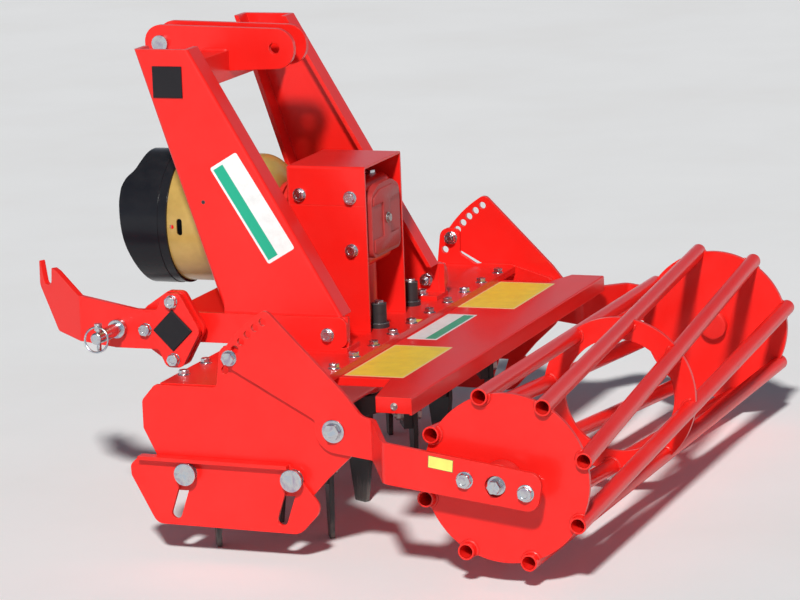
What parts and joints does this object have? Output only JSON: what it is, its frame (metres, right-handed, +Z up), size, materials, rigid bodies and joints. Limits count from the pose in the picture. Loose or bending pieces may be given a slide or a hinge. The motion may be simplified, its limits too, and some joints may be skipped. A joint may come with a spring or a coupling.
{
  "type": "power harrow",
  "caption": "Narrow tractor-mounted power harrow: upright-tine rotors under a gear trough, three-point headstock, shielded drive shaft and an adjustable cage roller.",
  "frame": {"origin": "on the floor, below the middle of the machine's bounding box", "axes": "+X to the machine's right, +Y forward towards the tractor, +Z up"},
  "size_m": [1.31, 1.1026, 0.8024],
  "materials": {
    "red_paint": "satin",
    "cast_iron": "rough",
    "zinc_steel": "satin",
    "dark_steel": "satin",
    "black_plastic": "matte",
    "yellow_paint": "satin"
  },
  "bodies": {
    "frame": {"gear_trough": "red_paint", "trough_cover": "red_paint", "side_plate_left": "red_paint", "side_plate_right": "red_paint", "rear_hood": "red_paint", "upright_left": "red_paint", "upright_right": "red_paint", "foot_left": "red_paint", "foot_right": "red_paint", "upper_tube": "red_paint", "lower_tube": "red_paint", "top_link_ear_left": "red_paint", "top_link_ear_right": "red_paint", "hitch_plate_left": "red_paint", "hitch_plate_right": "red_paint", "hitch_clamp_left": "red_paint", "hitch_clamp_right": "red_paint", "gearbox": "red_paint", "gearbox_rear_cover": "red_paint", "gearbox_guard": "red_paint", "guard_cap": "red_paint", "gear_train": "cast_iron", "rotor_bearings": "cast_iron", "top_link_pin": "zinc_steel", "hitch_pin_left": "zinc_steel", "hitch_pin_right": "zinc_steel", "lynch_pins": "zinc_steel", "deflector_bolts": "zinc_steel", "pivot_bolts": "zinc_steel", "tube_caps": "black_plastic", "oil_plugs": "black_plastic", "shield_bell": "black_plastic", "shield_cup": "yellow_paint"},
    "roller_arms": {"roller_arm_left": "red_paint", "roller_arm_right": "red_paint", "roller_bearing_left": "cast_iron", "roller_bearing_right": "cast_iron", "lock_bolts": "zinc_steel"},
    "roller": {"roller_tubes": "red_paint", "roller_disc_left": "red_paint", "roller_disc_right": "red_paint", "roller_ring": "red_paint", "roller_axles": "zinc_steel"},
    "deflector_left": {"side_deflector_left": "red_paint"},
    "deflector_right": {"side_deflector_right": "red_paint"},
    "drive_shaft": {"input_shaft": "zinc_steel"},
    "rotor_1": {"rotor_1": "dark_steel", "blades_1": "dark_steel"},
    "rotor_2": {"rotor_2": "dark_steel", "blades_2": "dark_steel"},
    "rotor_3": {"rotor_3": "dark_steel", "blades_3": "dark_steel"},
    "rotor_4": {"rotor_4": "dark_steel", "blades_4": "dark_steel"},
    "rotor_5": {"rotor_5": "dark_steel", "blades_5": "dark_steel"}
  },
  "joints": [
    {"name": "roller_depth", "type": "hinge", "parent": "frame", "child": "roller_arms", "pos_m": [0, -0.09849, 0.225], "axis": [-1, 0, 0], "range_deg": [0, 30.9]},
    {"name": "roller_spin", "type": "hinge", "parent": "roller_arms", "child": "roller", "pos_m": [0, -0.40648, 0.178], "axis": [1, 0, 0], "continuous": true},
    {"name": "deflector_left_height", "type": "slide", "parent": "frame", "child": "deflector_left", "axis": [0, 0.3223, -0.9466], "range_m": [-0.073, 0]},
    {"name": "deflector_right_height", "type": "slide", "parent": "frame", "child": "deflector_right", "axis": [0, 0.3223, -0.9466], "range_m": [-0.073, 0]},
    {"name": "rotor_1_spin", "type": "hinge", "parent": "frame", "child": "rotor_1", "pos_m": [-0.4, 0.06652, 0.16], "axis": [0, 0, 1], "continuous": true},
    {"name": "rotor_2_spin", "type": "hinge", "parent": "frame", "child": "rotor_2", "pos_m": [-0.2, 0.06652, 0.16], "axis": [0, 0, 1], "continuous": true},
    {"name": "rotor_3_spin", "type": "hinge", "parent": "frame", "child": "rotor_3", "pos_m": [0, 0.06652, 0.16], "axis": [0, 0, 1], "continuous": true},
    {"name": "rotor_4_spin", "type": "hinge", "parent": "frame", "child": "rotor_4", "pos_m": [0.2, 0.06652, 0.16], "axis": [0, 0, 1], "continuous": true},
    {"name": "rotor_5_spin", "type": "hinge", "parent": "frame", "child": "rotor_5", "pos_m": [0.4, 0.06652, 0.16], "axis": [0, 0, 1], "continuous": true},
    {"name": "drive_shaft_spin", "type": "hinge", "parent": "frame", "child": "drive_shaft", "pos_m": [0, 0.31451, 0.464], "axis": [0, 1, 0], "continuous": true}
  ],
  "couplings": [
    {"joint": "rotor_1_spin", "follows": "rotor_3_spin", "ratio": 1},
    {"joint": "rotor_2_spin", "follows": "rotor_3_spin", "ratio": -1},
    {"joint": "rotor_4_spin", "follows": "rotor_3_spin", "ratio": -1},
    {"joint": "rotor_5_spin", "follows": "rotor_3_spin", "ratio": 1},
    {"joint": "drive_shaft_spin", "follows": "rotor_3_spin", "ratio": 2}
  ]
}
